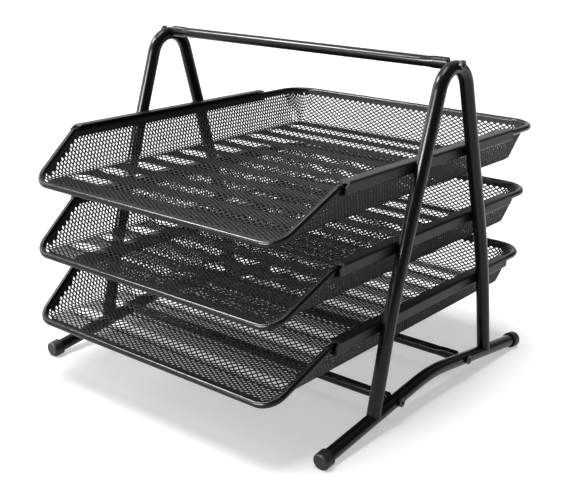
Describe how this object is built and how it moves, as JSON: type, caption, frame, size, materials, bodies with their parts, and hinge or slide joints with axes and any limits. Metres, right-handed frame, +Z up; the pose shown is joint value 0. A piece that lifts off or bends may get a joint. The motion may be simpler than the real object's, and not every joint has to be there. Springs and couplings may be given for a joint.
{
  "type": "letter tray stack",
  "caption": "Desktop stack of sliding mesh letter trays hung in rails between arched tube side frames with a carrying handle.",
  "frame": {"origin": "on the desk surface, under the middle of the whole stack", "axes": "+X to the right, +Z up, the low front edges of the trays face -Y"},
  "size_m": [0.2996, 0.3459, 0.2653],
  "materials": {
    "tube_paint": "semi-gloss black powder coat",
    "rail_paint": "satin black powder coat",
    "rim_paint": "semi-gloss black powder coat",
    "mesh_paint": "semi-gloss black powder coat on expanded metal",
    "foot_cap_plastic": "matte black",
    "dark_screw_steel": "black zinc",
    "plain_steel": "zinc"
  },
  "bodies": {
    "frame": {"left_foot_tube": "tube_paint", "left_arch_tube": "tube_paint", "left_front_foot_cap": "foot_cap_plastic", "left_rear_foot_cap": "foot_cap_plastic", "left_handle_screw": "dark_screw_steel", "left_bottom_rail": "rail_paint", "left_middle_rail": "rail_paint", "left_top_rail": "rail_paint", "right_foot_tube": "tube_paint", "right_arch_tube": "tube_paint", "right_front_foot_cap": "foot_cap_plastic", "right_rear_foot_cap": "foot_cap_plastic", "right_handle_screw": "dark_screw_steel", "right_bottom_rail": "rail_paint", "right_middle_rail": "rail_paint", "right_top_rail": "rail_paint", "carry_handle": "tube_paint", "handle_inserts": "plain_steel", "front_cross_tube": "tube_paint", "front_cross_inserts": "plain_steel", "front_cross_screws": "dark_screw_steel", "rear_cross_tube": "tube_paint", "rear_cross_inserts": "plain_steel", "rear_cross_screws": "dark_screw_steel"},
    "bottom_tray": {"bottom_tray_rim": "rim_paint", "bottom_tray_basket": "mesh_paint"},
    "middle_tray": {"middle_tray_rim": "rim_paint", "middle_tray_basket": "mesh_paint"},
    "top_tray": {"top_tray_rim": "rim_paint", "top_tray_basket": "mesh_paint"}
  },
  "joints": [
    {"name": "bottom_tray_slide", "type": "slide", "parent": "frame", "child": "bottom_tray", "axis": [0, -1, 0], "range_m": [0, 0.22]},
    {"name": "middle_tray_slide", "type": "slide", "parent": "frame", "child": "middle_tray", "axis": [0, -1, 0], "range_m": [0, 0.22]},
    {"name": "top_tray_slide", "type": "slide", "parent": "frame", "child": "top_tray", "axis": [0, -1, 0], "range_m": [0, 0.22]}
  ]
}
